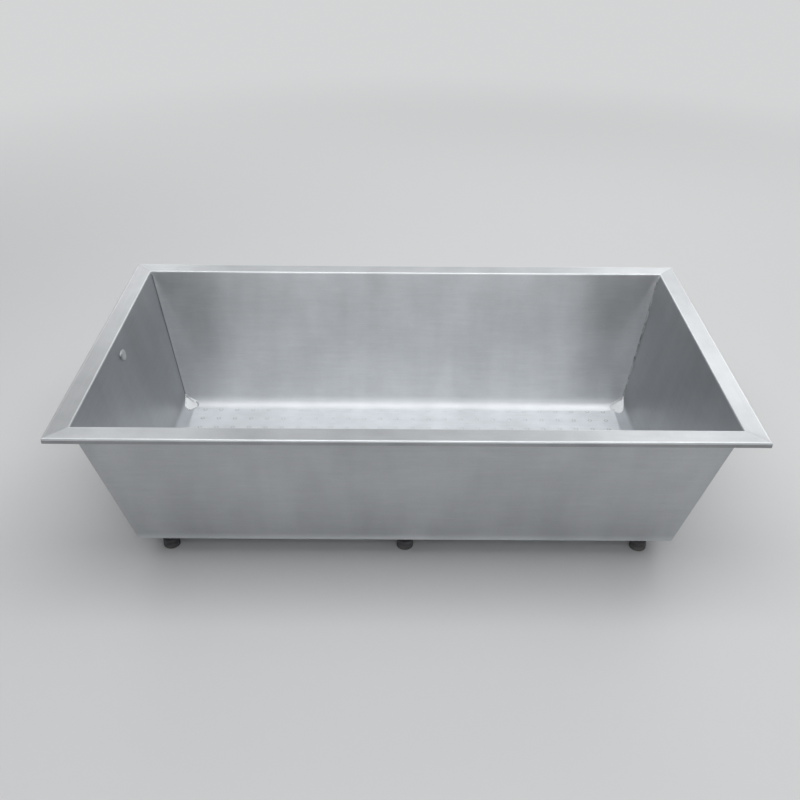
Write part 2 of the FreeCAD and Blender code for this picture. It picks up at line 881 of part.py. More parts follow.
def build():
    """Every piece of the tub by its name."""
    pieces = {
        "front_wall": wall(sides, ends, 270),
        "back_wall": wall(sides, ends, 90),
        "left_end_wall": left_end_wall(),
        "right_end_wall": wall(ends, sides, 0),
        "floor_plate": floor_plate(),
    }
    walls = [pieces[name] for name in ("front_wall", "back_wall", "left_end_wall", "right_end_wall")]
    for y_name, y_side in (("front", -1), ("back", 1)):
        for x_name, x_side in (("left", -1), ("right", 1)):
            pieces[f"{y_name}_{x_name}_corner_weld"] = corner_weld(x_side, y_side, walls)
    pieces["floor_seam_weld"] = floor_seam_weld()
    pieces.update(rails())
    pieces["foot_weld_nuts"] = nuts_at_feet(weld_nut_height, rail_bottom + rail_sheet)
    pieces["foot_lock_nuts"] = nuts_at_feet(lock_nut_height, lock_nut_bottom)
    foot = {"sole": foot_sole(), "cup": foot_cup(), "stud": foot_stud()}
    for place_name, place in foot_places.items():
        for piece_name, piece in foot.items():
            pieces[f"{place_name}_foot_{piece_name}"] = placed(piece, place)
    pieces["waste_flange"] = waste_flange()
    pieces["waste_gasket"] = waste_gasket()
    pieces["waste_body"] = waste_body()
    pieces["plug_cartridge"] = plug_cartridge()
    pieces["plug"] = plug()
    pieces["plug_seal"] = plug_seal()
    pieces["overflow_sleeve"] = overflow_sleeve()
    pieces["overflow_cover"] = overflow_cover()
    pieces["overflow_screw"] = overflow_screw()
    pieces["overflow_gasket"] = overflow_gasket()
    pieces["overflow_elbow"] = overflow_elbow()
    pieces["overflow_down_pipe"] = overflow_down_pipe()
    pieces["overflow_lower_elbow"] = overflow_lower_elbow()
    pieces["overflow_floor_pipe"] = overflow_floor_pipe()
    pieces["overflow_pipe_nuts"] = overflow_pipe_nuts()
    return pieces


os.makedirs("parts", exist_ok=True)
for name, shape in build().items():
    shape.exportStep(f"parts/{name}.step")
    print(name, "solids", len(shape.Solids), "valid", shape.isValid(), "volume", round(shape.Volume))
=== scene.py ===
# %% [markdown]
# A stainless steel bathtub on six levelling feet, dressed from its construction model.
# The construction model is exact but plain: every sheet is smooth and every weld is a plain bead.
# We load it as a fixed frame, leave its big folded sheets as they are, and give them a brushed finish.
# Small parts that a hand or an eye would notice, such as welds and feet, are modelled again in more detail.

# %% Load the construction model
import math

import bmesh
import bpy
from mathutils import Matrix, Vector, noise


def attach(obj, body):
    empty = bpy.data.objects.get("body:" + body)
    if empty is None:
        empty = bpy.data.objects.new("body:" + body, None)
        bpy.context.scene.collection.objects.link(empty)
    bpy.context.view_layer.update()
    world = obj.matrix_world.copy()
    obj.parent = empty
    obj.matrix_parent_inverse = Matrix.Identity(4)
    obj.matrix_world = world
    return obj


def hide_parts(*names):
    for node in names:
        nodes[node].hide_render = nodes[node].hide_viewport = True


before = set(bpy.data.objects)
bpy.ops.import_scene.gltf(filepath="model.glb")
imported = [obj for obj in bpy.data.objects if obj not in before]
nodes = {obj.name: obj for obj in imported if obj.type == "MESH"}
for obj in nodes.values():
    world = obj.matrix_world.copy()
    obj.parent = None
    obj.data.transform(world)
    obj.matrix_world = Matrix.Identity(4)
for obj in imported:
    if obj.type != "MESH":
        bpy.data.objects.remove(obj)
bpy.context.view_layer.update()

# %% [markdown]
# The camera stands in front of the tub, a little over two metres away, and looks down into it.
# A camera could be aimed with a Track To constraint, but a plain product of turns is easier to read:
# first the roll, then the tilt down from the horizon, then the turn about the vertical.

# %% Camera
camera_place = Vector((-0.0206, -1.9905, 1.5454))
camera_tilt = 0.5733
camera_turn = -0.00344
camera_roll = 0.00796
picture_width = 800
focal_length_in_pixels = 937.12

camera_data = bpy.data.cameras.new("camera")
camera_data.sensor_width = 36.0
camera_data.lens = focal_length_in_pixels / picture_width * camera_data.sensor_width
camera = bpy.data.objects.new("camera", camera_data)
camera.matrix_world = (
    Matrix.Translation(camera_place)
    @ Matrix.Rotation(camera_turn, 4, "Z")
    @ Matrix.Rotation(math.pi / 2 - camera_tilt, 4, "X")
    @ Matrix.Rotation(camera_roll, 4, "Z")
)
bpy.context.scene.collection.objects.link(camera)
bpy.context.scene.camera = camera
print("lens", round(camera_data.lens, 2), "mm")

# %% [markdown]
# Brushed steel shows its surroundings as a soft blur, so the studio matters as much as the material.
# The floor is pale and plain. It is a wide disc, so it reaches past the picture in every view. Near the tub
# it takes its light and shadow from the lamps, and further out it fades into the tone of the backdrop.
# From below, the disc lets the camera look through it, so the underside of the tub can be checked too.

# %% Stage helpers
def linked_object(name, mesh):
    """Adds a mesh to the scene as an object at the origin."""
    made = bpy.data.objects.new(name, mesh)
    bpy.context.scene.collection.objects.link(made)
    return made


def mesh_from(shape, name):
    """Turns a finished bmesh into a mesh and frees it."""
    mesh = bpy.data.meshes.new(name)
    shape.to_mesh(mesh)
    shape.free()
    return mesh


floor_radius = 14.0
floor_shape = bmesh.new()
bmesh.ops.create_circle(floor_shape, cap_ends=True, radius=floor_radius, segments=96)
studio_floor = linked_object("studio_floor", mesh_from(floor_shape, "studio_floor"))
print("floor disc of", floor_radius, "m radius")

# %% [markdown]
# Every material here is a tree of nodes. Typing out each node and link hides the idea, so a few helpers do
# the typing: each adds one node, links what it is given and returns the output that the next one takes.
# They work the same in a material, in the world and inside a node group.

# %% Node helpers


def new_material(name):
    """A material with a Principled shader; gives the material, its node tree and the shader."""
    material = bpy.data.materials.new(name)
    material.use_nodes = True
    return material, material.node_tree, material.node_tree.nodes["Principled BSDF"]


def put(tree, kind, **settings):
    """Adds one node to a tree and sets its plain properties."""
    node = tree.nodes.new(kind)
    for key, value in settings.items():
        setattr(node, key, value)
    return node


def math_node(tree, operation, first, second=None, clamp=False):
    """A Math node fed by sockets or plain numbers; gives its output."""
    node = put(tree, "ShaderNodeMath", operation=operation, use_clamp=clamp)
    for index, value in enumerate((first, second)):
        if value is None:
            continue
        if isinstance(value, (int, float)):
            node.inputs[index].default_value = value
        else:
            tree.links.new(value, node.inputs[index])
    return node.outputs["Value"]


def vector_node(tree, operation, first, second=None):
    """A Vector Math node fed by sockets or plain triples; gives the node."""
    node = put(tree, "ShaderNodeVectorMath", operation=operation)
    for index, value in enumerate((first, second)):
        if value is None:
            continue
        if isinstance(value, tuple):
            node.inputs[index].default_value = value
        else:
            tree.links.new(value, node.inputs[index])
    return node


def remap(tree, value, low, high, to_low, to_high, smooth=False):
    """A Map Range node; gives its result."""
    node = put(tree, "ShaderNodeMapRange")
    node.interpolation_type = "SMOOTHSTEP" if smooth else "LINEAR"
    tree.links.new(value, node.inputs["Value"])
    for label, number in (("From Min", low), ("From Max", high), ("To Min", to_low), ("To Max", to_high)):
        node.inputs[label].default_value = number
    return node.outputs["Result"]


def split_axes(tree, vector):
    """A Separate XYZ node on a vector socket; gives its outputs."""
    node = put(tree, "ShaderNodeSeparateXYZ")
    tree.links.new(vector, node.inputs["Vector"])
    return node.outputs


def mixed_shaders(tree, amount, first, second):
    """Mixes two shader outputs by an amount socket."""
    node = put(tree, "ShaderNodeMixShader")
    tree.links.new(amount, node.inputs["Fac"])
    tree.links.new(first, node.inputs[1])
    tree.links.new(second, node.inputs[2])
    return node.outputs["Shader"]


def seen_rays(tree):
    """One for the rays that look at something: straight from the camera, mirrored or refracted."""
    rays = put(tree, "ShaderNodeLightPath").outputs
    mirrored = math_node(tree, "MAXIMUM", rays["Is Glossy Ray"], rays["Is Transmission Ray"])
    return math_node(tree, "MAXIMUM", rays["Is Camera Ray"], mirrored)


print("node helpers ready")

# %% Floor material
pale_grey = (0.72, 0.725, 0.73, 1.0)
floor_roughness = 0.9
floor_gloss = 0.2
backdrop_colour = (0.655, 0.66, 0.665, 1.0)
fade_start = 1.6
fade_end = 4.5

floor_material, tree, shader = new_material("pale_floor")
shader.inputs["Base Color"].default_value = pale_grey
shader.inputs["Roughness"].default_value = floor_roughness
shader.inputs["Specular IOR Level"].default_value = floor_gloss
spot = put(tree, "ShaderNodeTexCoord").outputs["Object"]
reach = vector_node(tree, "LENGTH", spot).outputs["Value"]
fade = remap(tree, reach, fade_start, fade_end, 0.0, 1.0, smooth=True)
fade_seen = math_node(tree, "MULTIPLY", fade, seen_rays(tree))
far_floor = put(tree, "ShaderNodeEmission")
far_floor.inputs["Color"].default_value = backdrop_colour
faded = mixed_shaders(tree, fade_seen, shader.outputs["BSDF"], far_floor.outputs["Emission"])
see_through = put(tree, "ShaderNodeBsdfTransparent")
below = put(tree, "ShaderNodeNewGeometry").outputs["Backfacing"]
from_below = math_node(tree, "MULTIPLY", below, put(tree, "ShaderNodeLightPath").outputs["Is Camera Ray"])
seen_floor = mixed_shaders(tree, from_below, faded, see_through.outputs["BSDF"])
tree.links.new(seen_floor, tree.nodes["Material Output"].inputs["Surface"])
studio_floor.data.materials.append(floor_material)
print("floor fades into the backdrop from", fade_start, "to", fade_end, "m")

# %% [markdown]
# The world is the part of the studio that no lamp or floor covers.
# A flat grey world would fill the tub with even light and hide its shape. Here the light grows with height
# instead, as in a room with a bright ceiling, so the inside of the tub falls off towards its ends.
# A pale backdrop stands round the room. The camera sees it at every height and the steel mirrors its low
# part behind the floor, but it isn't meant to light anything, which is what Light Path is for.

# %% World
ceiling_level = 0.40
wall_level = 0.02
ceiling_start = 0.48
ceiling_end = 0.80
backdrop_low = 0.05
backdrop_high = 0.22
studio_white = (0.97, 0.985, 1.0, 1.0)

world = bpy.data.worlds.new("studio")
world.use_nodes = True
bpy.context.scene.world = world
tree = world.node_tree
room_light = tree.nodes["Background"]
room_light.inputs["Color"].default_value = studio_white
upward = split_axes(tree, put(tree, "ShaderNodeTexCoord").outputs["Generated"])["Z"]
room_level = remap(tree, upward, ceiling_start, ceiling_end, wall_level, ceiling_level, smooth=True)
tree.links.new(room_level, room_light.inputs["Strength"])
backdrop = put(tree, "ShaderNodeBackground")
backdrop.inputs["Color"].default_value = backdrop_colour
low_down = remap(tree, upward, backdrop_low, backdrop_high, 1.0, 0.0, smooth=True)
from_camera = put(tree, "ShaderNodeLightPath").outputs["Is Camera Ray"]
any_height = math_node(tree, "MAXIMUM", low_down, from_camera)
backdrop_seen = math_node(tree, "MULTIPLY", any_height, seen_rays(tree))
seen_world = mixed_shaders(
    tree, backdrop_seen, room_light.outputs["Background"], backdrop.outputs["Background"])
tree.links.new(seen_world, tree.nodes["World Output"].inputs["Surface"])

bpy.context.scene.view_settings.view_transform = "Standard"
print("world levels", wall_level, "to", ceiling_level)

# %% [markdown]
# Soft boxes do the rest. The long one and the two high ones behind the tub are what its flat rim mirrors
# towards the camera. The two overhead light the bottom of the tub, and the one in front fills the outer wall
# and leaves a broad bright patch on the back wall. Area lamps are used, because their size is what makes a
# reflection in brushed metal soft.

# %% Soft boxes
tub_middle = (0.0, 0.0, 0.25)


def soft_box(name, place, width, height, power):
    """A rectangular lamp that faces the middle of the tub."""
    data = bpy.data.lights.new(name, "AREA")
    data.shape = "RECTANGLE"
    data.size = width
    data.size_y = height
    data.energy = power
    lamp = bpy.data.objects.new(name, data)
    direction = Vector(tub_middle) - Vector(place)
    lamp.matrix_world = Matrix.Translation(place) @ direction.to_track_quat("-Z", "Y").to_matrix().to_4x4()
    bpy.context.scene.collection.objects.link(lamp)
    return lamp


soft_box("back_box", (0.8, 3.2, 2.0), 6.9, 1.4, 46.0)
soft_box("left_high_box", (-2.1, 2.9, 3.0), 1.8, 0.9, 7.8)
soft_box("right_high_box", (2.3, 2.9, 3.0), 2.6, 0.9, 12.0)
soft_box("top_box", (0.0, -0.65, 3.4), 4.2, 2.0, 57.0)
soft_box("right_top_box", (1.6, 0.2, 3.2), 1.6, 1.6, 8.0)
soft_box("front_box", (0.0, -3.6, 3.0), 2.9, 1.6, 34.0)
print("six soft boxes")

# %% [markdown]
# Now the finishes. Steel sheet is brushed along its length, which leaves fine lines. Up close they are
# tiny grooves, from further away they make a faint streak. Both come from noise that is stretched along
# the brushing. Because several finishes use it, it becomes a node group with its own inputs.

# %% Group helpers


def new_group(name, outputs, **inputs):
    """A node group with a Vector input, further inputs by default and float outputs; gives it and its ends."""
    tree = bpy.data.node_groups.new(name, "ShaderNodeTree")
    tree.interface.new_socket("Vector", in_out="INPUT", socket_type="NodeSocketVector")
    for label, default in inputs.items():
        kind = "NodeSocketVector" if isinstance(default, tuple) else "NodeSocketFloat"
        tree.interface.new_socket(label, in_out="INPUT", socket_type=kind).default_value = default
    for label in outputs:
        tree.interface.new_socket(label, in_out="OUTPUT", socket_type="NodeSocketFloat")
    return tree, put(tree, "NodeGroupInput").outputs, put(tree, "NodeGroupOutput").inputs


def noise_node(tree, vector, scale, detail, roughness, distortion=0.0):
    """A Noise Texture on a vector socket; gives its value output."""
    node = put(tree, "ShaderNodeTexNoise")
    tree.links.new(vector, node.inputs["Vector"])
    node.inputs["Scale"].default_value = scale
    node.inputs["Detail"].default_value = detail
    node.inputs["Roughness"].default_value = roughness
    node.inputs["Distortion"].default_value = distortion
    return node.outputs["Fac"]


def give(tree, given, **outputs):
    """Feeds the outputs of a group by their names."""
    for label, socket in outputs.items():
        tree.links.new(socket, given[label])


print("group helpers ready")

# %% Brushing group
brushing, taken, given = new_group(
    "brushing", ("Lines", "Streaks", "Bands"), Stretch=(1.0, 14.0, 14.0))
stretched = vector_node(brushing, "MULTIPLY", taken["Vector"], taken["Stretch"])
lines = noise_node(brushing, stretched.outputs["Vector"], scale=26.0, detail=3.0, roughness=0.65)
streaks = noise_node(brushing, stretched.outputs["Vector"], scale=9.0, detail=2.0, roughness=0.5)
upright = vector_node(brushing, "MULTIPLY", taken["Vector"], (1.0, 1.0, 0.12))
bands = noise_node(brushing, upright.outputs["Vector"], scale=13.0, detail=2.0, roughness=0.55)
give(brushing, given, Lines=lines, Streaks=streaks, Bands=bands)
print("group", brushing.name)

# %% [markdown]
# No hand-finished sheet is even. Large soft clouds come from the pressure of the hand, and small smears
# from wiping. One group gives both, at the same scale on every part, so the tub looks like one object.

# %% Clouds group
clouding, taken, given = new_group("clouding", ("Clouds", "Smears", "Grain"))
here = taken["Vector"]
clouds = noise_node(clouding, here, scale=5.5, detail=3.0, roughness=0.55, distortion=0.6)
squeezed = vector_node(clouding, "MULTIPLY", here, (1.0, 1.0, 2.6)).outputs["Vector"]
smears = noise_node(clouding, squeezed, scale=17.0, detail=4.0, roughness=0.6, distortion=0.4)
grain = noise_node(clouding, here, scale=420.0, detail=2.0, roughness=0.6)
give(clouding, given, Clouds=clouds, Smears=smears, Grain=grain)
print("group", clouding.name)

# %% [markdown]
# Beside each weld the sheet was ground by hand, which leaves a slightly paler and rougher band. The tub
# is the same in all four corners, so the group folds space with an Absolute node and measures the
# distance to one straight line. The same group serves the sloping corners and the mitres of the rim.

# %% Ground band group
banding, taken, given = new_group(
    "ground_band", ("Band",), Start=(0.0, 0.0, 0.0), Direction=(0.0, 0.0, 1.0), Width=0.01)
folded = vector_node(banding, "ABSOLUTE", taken["Vector"])
offset = vector_node(banding, "SUBTRACT", folded.outputs["Vector"], taken["Start"])
across = vector_node(banding, "CROSS_PRODUCT", offset.outputs["Vector"], taken["Direction"])
distance = vector_node(banding, "LENGTH", across.outputs["Vector"]).outputs["Value"]
ragged = noise_node(banding, taken["Vector"], scale=60.0, detail=3.0, roughness=0.6)
uneven_width = remap(banding, ragged, 0.3, 0.7, 0.45, 1.5)
spread = math_node(banding, "MULTIPLY", taken["Width"], uneven_width)
nearness = math_node(banding, "DIVIDE", distance, spread)
give(banding, given, Band=remap(banding, nearness, 0.55, 1.25, 1.0, 0.0, smooth=True))
print("group", banding.name)

# %% [markdown]
# A brake bends the rim over at its outer edge and down into the tub at its inner edge. The group masks the
# bends, which are painted paler as a highlight, and the narrow lip below them, which is painted darker as
# shade.
# The rim is a rectangle, so the distance to it is the larger of two plain distances, which a Maximum node
# gives.

# %% Rim edges group
rim_half = (0.750, 0.425)
opening_half = (0.705, 0.380)
rim_bend_bottom = 0.4300
outer_bend_reach = (-0.0050, -0.0030)
inner_bend_reach = (0.0015, 0.0035)
lip_reach = (-0.0024, -0.0016)

# Bend is where the rim is painted paler as a highlight, Lip where it is painted darker as shade.
edging, taken, given = new_group("rim_edges", ("Bend", "Lip"))
folded = vector_node(edging, "ABSOLUTE", taken["Vector"])
along, across, up = split_axes(edging, folded.outputs["Vector"])


def past_rectangle(tree, half_length, half_width):
    """How far a point lies outside a rectangle round the middle, negative inside it."""
    past_ends = math_node(tree, "SUBTRACT", along, half_length)
    past_sides = math_node(tree, "SUBTRACT", across, half_width)
    return math_node(tree, "MAXIMUM", past_ends, past_sides)


past_rim = past_rectangle(edging, *rim_half)
from_opening = math_node(edging, "ABSOLUTE", past_rectangle(edging, *opening_half))
outer_bend = remap(edging, past_rim, *outer_bend_reach, 0.0, 1.0, smooth=True)
inner_bend = remap(edging, from_opening, *inner_bend_reach, 1.0, 0.0, smooth=True)
up_there = math_node(edging, "GREATER_THAN", up, rim_bend_bottom)
bend = math_node(edging, "MULTIPLY", math_node(edging, "MAXIMUM", outer_bend, inner_bend), up_there)
outside = remap(edging, past_rim, *lip_reach, 0.0, 1.0)
lip = math_node(edging, "MULTIPLY", outside, math_node(edging, "SUBTRACT", 1.0, up_there))
give(edging, given, Bend=bend, Lip=lip)
print("group", edging.name, "for a rim of", rim_half, "m to each side")

# %% [markdown]
# The floor sheet is embossed with small domes against slipping. Their crowns are painted paler as a highlight
# and their skirts darker as shade. The pattern repeats, so the group divides the floor into fields of one
# pitch with a Round node and measures the distance to the middle of the field. Nearer the middle of the tub
# the painted highlight and shade are weaker.

# %% Dimple group
dimple_pitch = (0.046, 0.045)
dimple_shift = (0.023, 0.0)
crown_reach = (0.0012, 0.0034)
skirt_reach = (0.0050, 0.0072)
weak_middle_reach = (0.25, 0.56)
weak_middle_level = 0.3

dimpling, taken, given = new_group("dimples", ("Crown", "Skirt"))
axes = split_axes(dimpling, taken["Vector"])
spot = put(dimpling, "ShaderNodeCombineXYZ")
for axis, pitch, shift in zip("XY", dimple_pitch, dimple_shift):
    steps = math_node(dimpling, "DIVIDE", math_node(dimpling, "SUBTRACT", axes[axis], shift), pitch)
    off_centre = math_node(dimpling, "SUBTRACT", steps, math_node(dimpling, "ROUND", steps))
    dimpling.links.new(math_node(dimpling, "MULTIPLY", off_centre, pitch), spot.inputs[axis])
from_crown = vector_node(dimpling, "LENGTH", spot.outputs["Vector"]).outputs["Value"]
crown = remap(dimpling, from_crown, *crown_reach, 1.0, 0.0, smooth=True)
foot = remap(dimpling, from_crown, *skirt_reach, 1.0, 0.0, smooth=True)
skirt = math_node(dimpling, "SUBTRACT", foot, crown)
from_middle = math_node(dimpling, "ABSOLUTE", axes["X"])
near_ends = remap(dimpling, from_middle, *weak_middle_reach, weak_middle_level, 1.0)
give(
    dimpling, given,
    Crown=math_node(dimpling, "MULTIPLY", crown, near_ends),
    Skirt=math_node(dimpling, "MULTIPLY", skirt, near_ends),
)
print("group", dimpling.name, "every", dimple_pitch, "m")

# %% [markdown]
# Satin steel for the sheets. The colour is that of bare stainless steel, a little cool. Lines and clouds
# move it only by a few percent; painted highlights and shade, and one painted light level for each sheet, move
# it more.
# Each sheet is brushed along its own length, so the finish is a function of the brushing direction. The
# grooves also pull each highlight out across the grain, which is the shader's Anisotropic with a tangent.

# %% Finish helpers


def use_group(tree, group, vector, **values):
    """Places a group in a material, on a vector socket, with its own values; gives the group's node."""
    node = put(tree, "ShaderNodeGroup", node_tree=group)
    tree.links.new(vector, node.inputs["Vector"])
    for label, value in values.items():
        node.inputs[label].default_value = value
    return node


def total(tree, *parts):
    """The sum of several sockets or numbers."""
    result = parts[0]
    for part in parts[1:]:
        result = math_node(tree, "ADD", result, part)
    return result


def times(tree, socket, factor):
    """A socket times a plain number."""
    return math_node(tree, "MULTIPLY", socket, factor)


def object_vector(tree):
    """The object's own coordinates, in metres."""
    return put(tree, "ShaderNodeTexCoord").outputs["Object"]


def tinted(tree, colour, level):
    """A colour, plain or from a socket, times a level socket; gives a colour output."""
    node = vector_node(tree, "SCALE", colour)
    tree.links.new(level, node.inputs["Scale"])
    return node.outputs["Vector"]


def mixed_colours(tree, amount, first, second):
    """Mixes two plain colours by an amount socket; gives a colour output."""
    node = put(tree, "ShaderNodeMix", data_type="RGBA")
    node.inputs["A"].default_value = (*first, 1.0)
    node.inputs["B"].default_value = (*second, 1.0)
    tree.links.new(amount, node.inputs["Factor"])
    return node.outputs["Result"]


def bumped(tree, shader, height, distance):
    """Feeds a height socket to the shader's normal."""
    node = put(tree, "ShaderNodeBump")
    node.inputs["Distance"].default_value = distance
    tree.links.new(height, node.inputs["Height"])
    tree.links.new(node.outputs["Normal"], shader.inputs["Normal"])


print("finish helpers ready")

# %% Marks, painted highlights and painted shade on the sheets
corner_foot = (0.630, 0.295, 0.0495)
corner_head = (0.705, 0.380, 0.4345)
corner_direction = (Vector(corner_head) - Vector(corner_foot)).normalized()[:]
mitre_direction = Vector((1.0, 1.0, 0.0)).normalized()[:]
corner_band = 0.011
mitre_band = 0.006
# The cove at the foot of each wall is painted paler as a highlight and made rougher.
cove_full = 0.060
cove_end = 0.082
ground_level, ground_roughness = 0.05, 0.06
# The rim bends are painted paler as a highlight and the lip below them darker as shade.
bend_highlight_level = 0.30
lip_shade_level = -0.36
# The dimple crowns are painted paler as a highlight and the skirts darker as shade.
crown_highlight_level, crown_roughness = 0.16, -0.16
skirt_shade_level = -0.24


def wall_marks_and_light(tree, place, fold):
    """What the walls get: paler ground bands beside the welds, the rim bends painted paler as a highlight, the
    lip painted darker as shade, and the cove painted paler as a highlight and made rougher.
    """
    fold_roughness, cove_highlight_level = fold
    bands = [
        use_group(tree, banding, place, Start=start, Direction=direction, Width=width).outputs["Band"]
        for start, direction, width in (
            (corner_foot, corner_direction, corner_band), (corner_head, mitre_direction, mitre_band))
    ]
    ground = math_node(tree, "MAXIMUM", *bands)
    rim = use_group(tree, edging, place).outputs
    cove = remap(tree, split_axes(tree, place)["Z"], cove_full, cove_end, 1.0, 0.0, smooth=True)
    level = total(
        tree,
        times(tree, ground, ground_level),
        times(tree, rim["Bend"], bend_highlight_level),
        times(tree, rim["Lip"], lip_shade_level),
        times(tree, cove, cove_highlight_level),
    )
    return level, total(tree, times(tree, ground, ground_roughness), times(tree, cove, fold_roughness))


def dimple_light_and_shade(tree, place):
    """Crowns of the embossed dimples painted paler as a highlight and made smoother, skirts painted darker as
    shade.
    """
    dimple = use_group(tree, dimpling, place).outputs
    level = total(tree, times(tree, dimple["Crown"], crown_highlight_level), times(tree, dimple["Skirt"], skirt_shade_level))
    return level, times(tree, dimple["Crown"], crown_roughness)


print("corner seams rise along", [round(part, 3) for part in corner_direction])

# %% Steel sheet finish
steel_colour = (0.575, 0.592, 0.610)
groove_depth = 0.00006


def sheet_finish(name, grain, roughness, sheen_pull, painted_light_scale=1.0, fold=(0.12, 0.28), floor=False):
    """Satin brushed stainless sheet; the grain is an axis and the stretch that draws noise along it."""
    grain_axis, stretch = grain
    material, tree, shader = new_material(name)
    place = object_vector(tree)
    lines = use_group(tree, brushing, place, Stretch=stretch).outputs
    cloud = use_group(tree, clouding, place).outputs
    marks_and_light_level, marks_rough = dimple_light_and_shade(tree, place) if floor else wall_marks_and_light(tree, place, fold)
    level = total(
        tree, marks_and_light_level,
        remap(tree, lines["Lines"], 0.25, 0.75, -0.030, 0.030),
        remap(tree, lines["Streaks"], 0.25, 0.75, 0.975, 1.025),
        remap(tree, lines["Bands"], 0.3, 0.7, -0.05, 0.05),
        remap(tree, cloud["Clouds"], 0.3, 0.7, -0.045, 0.045),
        remap(tree, cloud["Smears"], 0.3, 0.7, -0.02, 0.02),
        remap(tree, cloud["Grain"], 0.3, 0.7, -0.03, 0.03),
    )
    rough = total(
        tree, marks_rough,
        remap(tree, lines["Lines"], 0.25, 0.75, -0.006, 0.012),
        remap(tree, cloud["Clouds"], 0.3, 0.7, roughness - 0.008, roughness + 0.022),
        remap(tree, cloud["Smears"], 0.35, 0.65, -0.006, 0.014),
    )
    # Each sheet's colour is scaled by one factor per sheet, a painted light level: paler for the floor, darker
    # for the front and end sheets.
    tree.links.new(tinted(tree, steel_colour, times(tree, level, painted_light_scale)), shader.inputs["Base Color"])
    tree.links.new(rough, shader.inputs["Roughness"])
    shader.inputs["Metallic"].default_value = 1.0
    facing = put(tree, "ShaderNodeNewGeometry").outputs["Normal"]
    across_grain = vector_node(tree, "CROSS_PRODUCT", facing, grain_axis).outputs["Vector"]
    tree.links.new(across_grain, shader.inputs["Tangent"])
    shader.inputs["Anisotropic"].default_value = sheen_pull
    bumped(tree, shader, lines["Lines"], groove_depth)
    return material


print("sheet finish ready, colour", steel_colour)

# %% Finish the sheets
along_x = ((1.0, 0.0, 0.0), (1.0, 14.0, 14.0))
along_y = ((0.0, 1.0, 0.0), (14.0, 1.0, 14.0))
# The front and end sheets are painted darker, and the floor sheet paler, than the back wall: painted shade and
# light on one steel.
brushed_back = sheet_finish("brushed_steel_back", along_x, roughness=0.305, sheen_pull=0.97)
brushed_front = sheet_finish("brushed_steel_front", along_x, roughness=0.305, sheen_pull=0.97, painted_light_scale=0.92)
# The end sheets' cove gets a much stronger painted highlight.
brushed_ends = sheet_finish(
    "brushed_steel_ends", along_y, roughness=0.33, sheen_pull=0.64, painted_light_scale=0.80, fold=(0.40, 0.85))
embossed_floor = sheet_finish(
    "embossed_steel_floor", along_x, roughness=0.56, sheen_pull=0.3, painted_light_scale=1.46, floor=True)


def finish(names, material):
    """Gives construction nodes or new pieces one material."""
    for name in names:
        mesh = bpy.data.objects[name].data
        mesh.materials.clear()
        mesh.materials.append(material)
    print(material.name, "on", ", ".join(names))


finish(("back_wall",), brushed_back)
finish(("front_wall",), brushed_front)
finish(("left_end_wall", "right_end_wall"), brushed_ends)
finish(("floor_plate",), embossed_floor)

# %% [markdown]
# The other metals are solid bars, bent strips and turned parts, so one finish with a few values serves
# them all: fine lines from rolling or turning, soft stains, bare paler edges where parts were handled, and
# hollows painted darker as shade. Pointiness finds those edges and hollows, which needs a mesh with many small
# faces, as the new pieces have.

# %% Metal finish


def metal_finish(name, colour, stain, roughness, stretch, line_depth, edge_wear_and_hollow_shade=0.0, stain_amount=0.5):
    """Bare metal with lines along the stretch, stains of a second colour, paler worn edges and hollows painted
    darker as shade.
    """
    material, tree, shader = new_material(name)
    place = object_vector(tree)
    lines = use_group(tree, brushing, place, Stretch=stretch).outputs["Lines"]
    cloud = use_group(tree, clouding, place).outputs
    point = put(tree, "ShaderNodeNewGeometry").outputs["Pointiness"]
    level = total(
        tree,
        remap(tree, lines, 0.25, 0.75, 0.93, 1.07),
        remap(tree, cloud["Smears"], 0.3, 0.7, -0.07, 0.07),
        remap(tree, point, 0.515, 0.60, 0.0, edge_wear_and_hollow_shade),
        # Hollows are painted darker as shade.
        remap(tree, point, 0.40, 0.49, -edge_wear_and_hollow_shade, 0.0),
    )
    stains = remap(tree, cloud["Smears"], 0.45, 0.72, 0.0, stain_amount)
    stained = mixed_colours(tree, stains, colour, stain)
    tree.links.new(tinted(tree, stained, level), shader.inputs["Base Color"])
    rough = total(
        tree,
        remap(tree, cloud["Clouds"], 0.3, 0.7, roughness - 0.04, roughness + 0.05),
        remap(tree, cloud["Grain"], 0.3, 0.7, -0.03, 0.03),
    )
    tree.links.new(rough, shader.inputs["Roughness"])
    shader.inputs["Metallic"].default_value = 1.0
    bumped(tree, shader, lines, line_depth)
    return material


print("metal finish ready")

# %% Bare metals
along_rail = (12.0, 1.0, 12.0)
across_seam = (14.0, 1.0, 14.0)
round_thread = (6.0, 6.0, 60.0)
round_about = (8.0, 8.0, 60.0)

